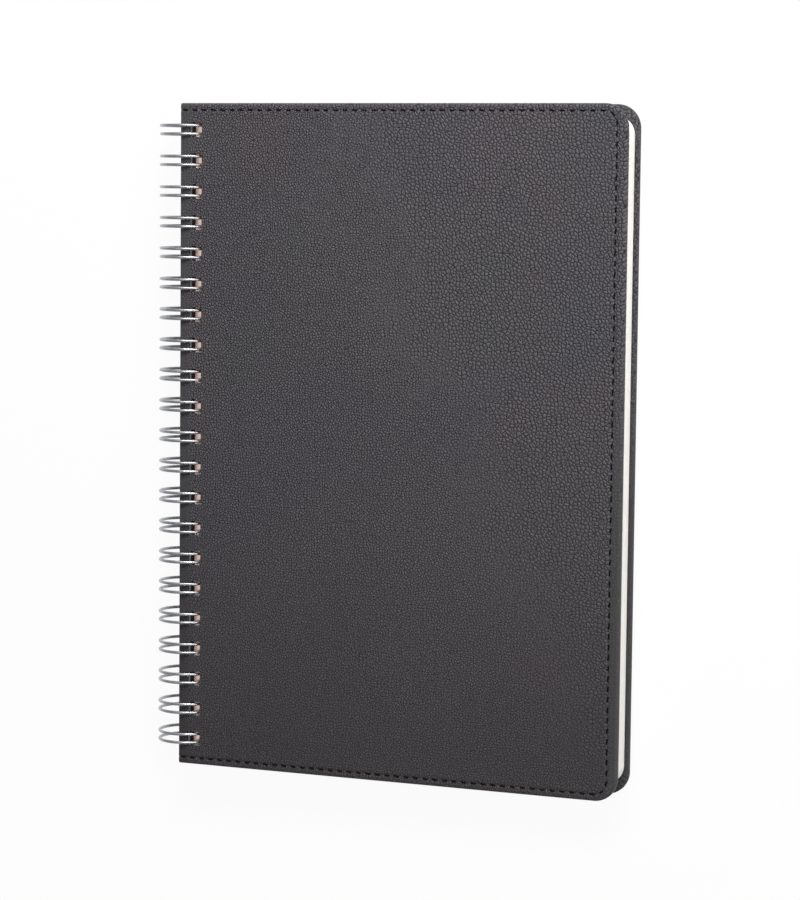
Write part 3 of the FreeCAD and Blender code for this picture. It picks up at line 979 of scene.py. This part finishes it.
route = [point + AXIS * 1.0 for place in HOLE_PLACES for point in one_loop(place)]
tail = Vector((0, WIRE_TAIL, 0))
route = [route[0] - tail, *route, route[-1] + tail]
length = sum((b - a).length for a, b in zip(route, route[1:]))
print(f"wire: {len(route)} points, {length / MM:.0f} mm long")

# %% The wire's body
def make_wire():
    data = bpy.data.curves.new("twin_loop_wire", "CURVE")
    data.dimensions = "3D"
    spline = data.splines.new("POLY")
    spline.points.add(len(route) - 1)
    for spot, point in zip(spline.points, route):
        spot.co = (*point, 1)
    spline.use_smooth = True
    data.bevel_depth = WIRE_RADIUS
    data.bevel_resolution = 4
    data.use_fill_caps = True
    data.materials.append(SILVER)
    wire = bpy.data.objects.new("twin_loop_wire", data)
    bpy.context.scene.collection.objects.link(wire)
    return wire


wire = make_wire()
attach(wire, "book_block")
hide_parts("binding_wire")
print("wire body:", wire.name)

# %% [markdown]
# A page block that is one smooth solid looks like plastic. What gives it away is the cut edge, where every
# leaf ends a few hundredths of a millimetre from its neighbours. So the block is drawn leaf by leaf: each
# leaf is a ring round the outline, set in by a little chance amount. The walls of the punched holes are
# rings too, but a punch leaves them even. The lowest leaves have a slot between the holes, for the bridges
# of the wire.

# %% Leaves of paper
PAGE_CORNER = COVER_CORNER - 1.2 * MM
LEAF_PLAY = 0.03 * MM
LEAF_SLOPE = 0.2 * LEAF
BRIDGE_X = AXIS.x + 6.737 * MM
SLOT_SIDE = 0.7 * MM
SLOT_TOP = AXIS.z - 2.958 * MM
SLOT_REACH = HOLE_PLACES[-1] + 3.055 * MM


def page_outline():
    """A ring round the page, with square corners at the spine and round ones at the fore-edge."""
    left, right, half, r = pages_low.x, pages_high.x, pages_high.y, PAGE_CORNER
    ring = [(x, -half) for x in np.linspace(left, right - r, 60)[:-1]]
    for t in np.linspace(0, math.pi / 2, 12):
        ring.append((right - r + r * math.sin(t), -half + r - r * math.cos(t)))
    ring += [(right, y) for y in np.linspace(-half + r, half - r, 80)[1:-1]]
    for t in np.linspace(math.pi / 2, 0, 12):
        ring.append((right - r + r * math.sin(t), half - r + r * math.cos(t)))
    ring += [(x, half) for x in np.linspace(right - r, left, 60)[1:]]
    ring += [(left, y) for y in np.linspace(half, -half, 60)[1:-1]]
    return np.array(ring)


def slot_outline():
    """One ring for the lowest leaves: every hole, and the slot that joins them."""
    half = HOLE_LENGTH / 2
    low, high = PAGE_HOLE
    near, far = BRIDGE_X - SLOT_SIDE, BRIDGE_X + SLOT_SIDE
    right_side = [(near, -SLOT_REACH), (far, -SLOT_REACH)]
    left_side = []
    for place in HOLE_PLACES:
        right_side += [(far, place - half), (high, place - half), (high, place + half), (far, place + half)]
        left_side += [(near, place - half), (low, place - half), (low, place + half), (near, place + half)]
    return np.array(right_side + [(far, SLOT_REACH), (near, SLOT_REACH)] + left_side[::-1])


def leaf_walls(verts, faces, ring, levels, shift, turned):
    """Walls through one ring at each level, each moved by its leaf's shift towards the ring's middle."""
    middle = ring.mean(0)
    first = len(verts)
    for level, amount in zip(levels, shift):
        inward = middle - ring
        inward /= np.linalg.norm(inward, axis=1)[:, None]
        verts += [(x, y, level) for x, y in ring + inward * amount]
    count = len(ring)
    for row in range(len(levels) - 1):
        for i in range(count):
            a, b = first + row * count + i, first + row * count + (i + 1) % count
            face = (a, b, b + count, a + count)
            faces.append(face[::-1] if turned else face)
    return first, first + (len(levels) - 1) * count


def leaf_stack(verts, faces, low, high, holes, keep, random):
    """A closed stack of leaves between two heights."""
    count = round((high - low) / LEAF)
    edges = np.linspace(low, high, count + 1)
    levels = [low]
    for edge in edges[1:-1]:
        levels += [edge - LEAF_SLOPE, edge + LEAF_SLOPE]
    levels.append(high)
    per_leaf = random.uniform(0, LEAF_PLAY, count)
    shift = np.repeat(per_leaf, 2)
    outline = page_outline()
    rings = [outline, *holes]
    starts = [leaf_walls(verts, faces, outline, levels, shift, False)]
    starts += [leaf_walls(verts, faces, ring, levels, shift * 0, True) for ring in holes]
    for level, pick, turned in ((low, 0, True), (high, 1, False)):
        numbers = [starts[k][pick] + i for k, ring in enumerate(rings) for i in range(len(ring))]
        flat = np.array([verts[n][:2] for n in numbers])
        split = np.cumsum([len(ring) for ring in rings])[:-1]
        found, triangles = fill(np.split(flat, split), [], keep)
        for triangle in triangles:
            corners = [numbers[i] for i in triangle]
            faces.append(tuple(corners[::-1] if turned else corners))


def make_pages():
    random = np.random.default_rng(5)
    verts = []
    faces = []
    page_holes = [np.array(ring) for ring in hole_rings(PAGE_HOLE, HOLE_PLACES, HOLE_LENGTH)]

    def past_spine_edge(x, y):
        over = np.hypot(np.maximum(x - pages_high.x + PAGE_CORNER, 0),
                        np.maximum(np.abs(y) - pages_high.y + PAGE_CORNER, 0))
        return over < PAGE_CORNER

    def upper(x, y):
        return past_spine_edge(x, y) & ~in_hole(x, y, PAGE_HOLE, HOLE_PLACES)

    def lower(x, y):
        in_slot = (np.abs(x - BRIDGE_X) < SLOT_SIDE) & (np.abs(y) < SLOT_REACH)
        return upper(x, y) & ~in_slot

    leaf_stack(verts, faces, pages_low.z, SLOT_TOP, [slot_outline()], lower, random)
    leaf_stack(verts, faces, SLOT_TOP, pages_high.z, page_holes, upper, random)
    pages = mesh_object("paper_leaves", verts, faces, PAPER)
    pages.data.shade_flat()
    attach(pages, "book_block")
    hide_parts("page_block")
    return pages


pages = make_pages()
print(f"{pages.name}: {len(pages.data.polygons)} faces")

# %% [markdown]
# The book lies on a plain pale floor. It rests on its wire and on the back cover's fore-edge, so the
# floor is laid through those two lines. The camera sees the floor as nearly white: part of what it sees
# is white light of its own, and part is the lit floor, which still shows a soft shadow.

# %% Floor
FLOOR_REACH = 4.0
FLOOR_GAP = 0.02 * MM
WHITE_SHARE = 0.93


def make_floor():
    tilt = math.atan2(AXIS.z - OUTER_FACE, FORE_X - AXIS.x)
    data = bpy.data.meshes.new("floor")
    corners = [(x * FLOOR_REACH, y * FLOOR_REACH, 0) for x, y in ((-1, -1), (1, -1), (1, 1), (-1, 1))]
    data.from_pydata(corners, [], [(0, 1, 2, 3)])
    floor = bpy.data.objects.new("floor", data)
    bpy.context.scene.collection.objects.link(floor)
    floor.matrix_world = Matrix.Translation((AXIS.x, 0, -FLOOR_GAP)) @ Matrix.Rotation(-tilt, 4, "Y")

    ground = Finish("pale_floor")
    seen = ground.add("ShaderNodeLightPath", {}, {}, "Is Camera Ray")
    shown = seen.math("MAXIMUM", seen, seen.also("Is Glossy Ray"))
    shown = shown.math("MAXIMUM", shown, seen.also("Is Transmission Ray"))
    pale = ground.mix(ground.noise(40, 3), (0.86, 0.86, 0.86), (0.90, 0.90, 0.90))
    matt = ground.add("ShaderNodeBsdfDiffuse", {}, {"Color": pale})
    glow = ground.add("ShaderNodeEmission", {}, {"Color": (1, 1, 1, 1), "Strength": 1.0})
    both = ground.add("ShaderNodeMixShader", {}, {0: shown * WHITE_SHARE, 1: matt, 2: glow})
    ground.add("ShaderNodeOutputMaterial", {}, {"Surface": both})
    data.materials.append(ground.material)
    return math.degrees(tilt)


print(f"floor tilted {make_floor():.2f} degrees")

# %% [markdown]
# Studio light for dark leather is broad and soft: one large lamp over the head of the book, so that the
# grain catches light towards the top, a weaker one from the fore-edge side, and a pale room all round.

# %% Light
ROOM_STRENGTH = 0.32


def area_lamp(name, place, target, size, power):
    data = bpy.data.lights.new(name, "AREA")
    data.shape = "DISK"
    data.size = size
    data.energy = power
    lamp = bpy.data.objects.new(name, data)
    bpy.context.scene.collection.objects.link(lamp)
    aim = Vector(target) - Vector(place)
    lamp.rotation_euler = aim.to_track_quat("-Z", "Y").to_euler()
    lamp.location = place


area_lamp("head_lamp", (0.12, 0.39, 0.36), (0.01, 0.06, 0), 0.26, 2.8)
area_lamp("side_lamp", (0.75, 0.0, 0.55), (0.06, 0.0, 0), 0.4, 2.5)

world = bpy.data.worlds.new("studio")
world.use_nodes = True
bpy.context.scene.world = world
sky = world.node_tree.nodes["Background"]
sky.inputs["Color"].default_value = (1, 1, 1, 1)
sky.inputs["Strength"].default_value = ROOM_STRENGTH

# %% [markdown]
# The camera stands where the photograph's did, worked out from the cover's edges and the loops: above
# the book, a little to the fore-edge side, with a long lens.

# %% Camera
CAMERA_PLACE = Vector((304.53, 72.27, 749.15)) * MM
CAMERA_TARGET = Vector((5.09, -1.13, 12.0)) * MM
CAMERA_LEAN = math.radians(0.625)
LENS = 118.38

camera_data = bpy.data.cameras.new("camera")
camera_data.lens = LENS
camera_data.sensor_fit = "VERTICAL"
camera_data.sensor_height = 36
camera = bpy.data.objects.new("camera", camera_data)
bpy.context.scene.collection.objects.link(camera)
back = (CAMERA_PLACE - CAMERA_TARGET).normalized()
right = Vector((-math.sin(CAMERA_LEAN), math.cos(CAMERA_LEAN), 0)).cross(back).normalized()
turn = Matrix((right, back.cross(right), back)).transposed().to_4x4()
camera.matrix_world = Matrix.Translation(CAMERA_PLACE) @ turn
bpy.context.scene.camera = camera
bpy.context.scene.view_settings.view_transform = "Standard"
print("camera at", [round(c, 3) for c in CAMERA_PLACE])
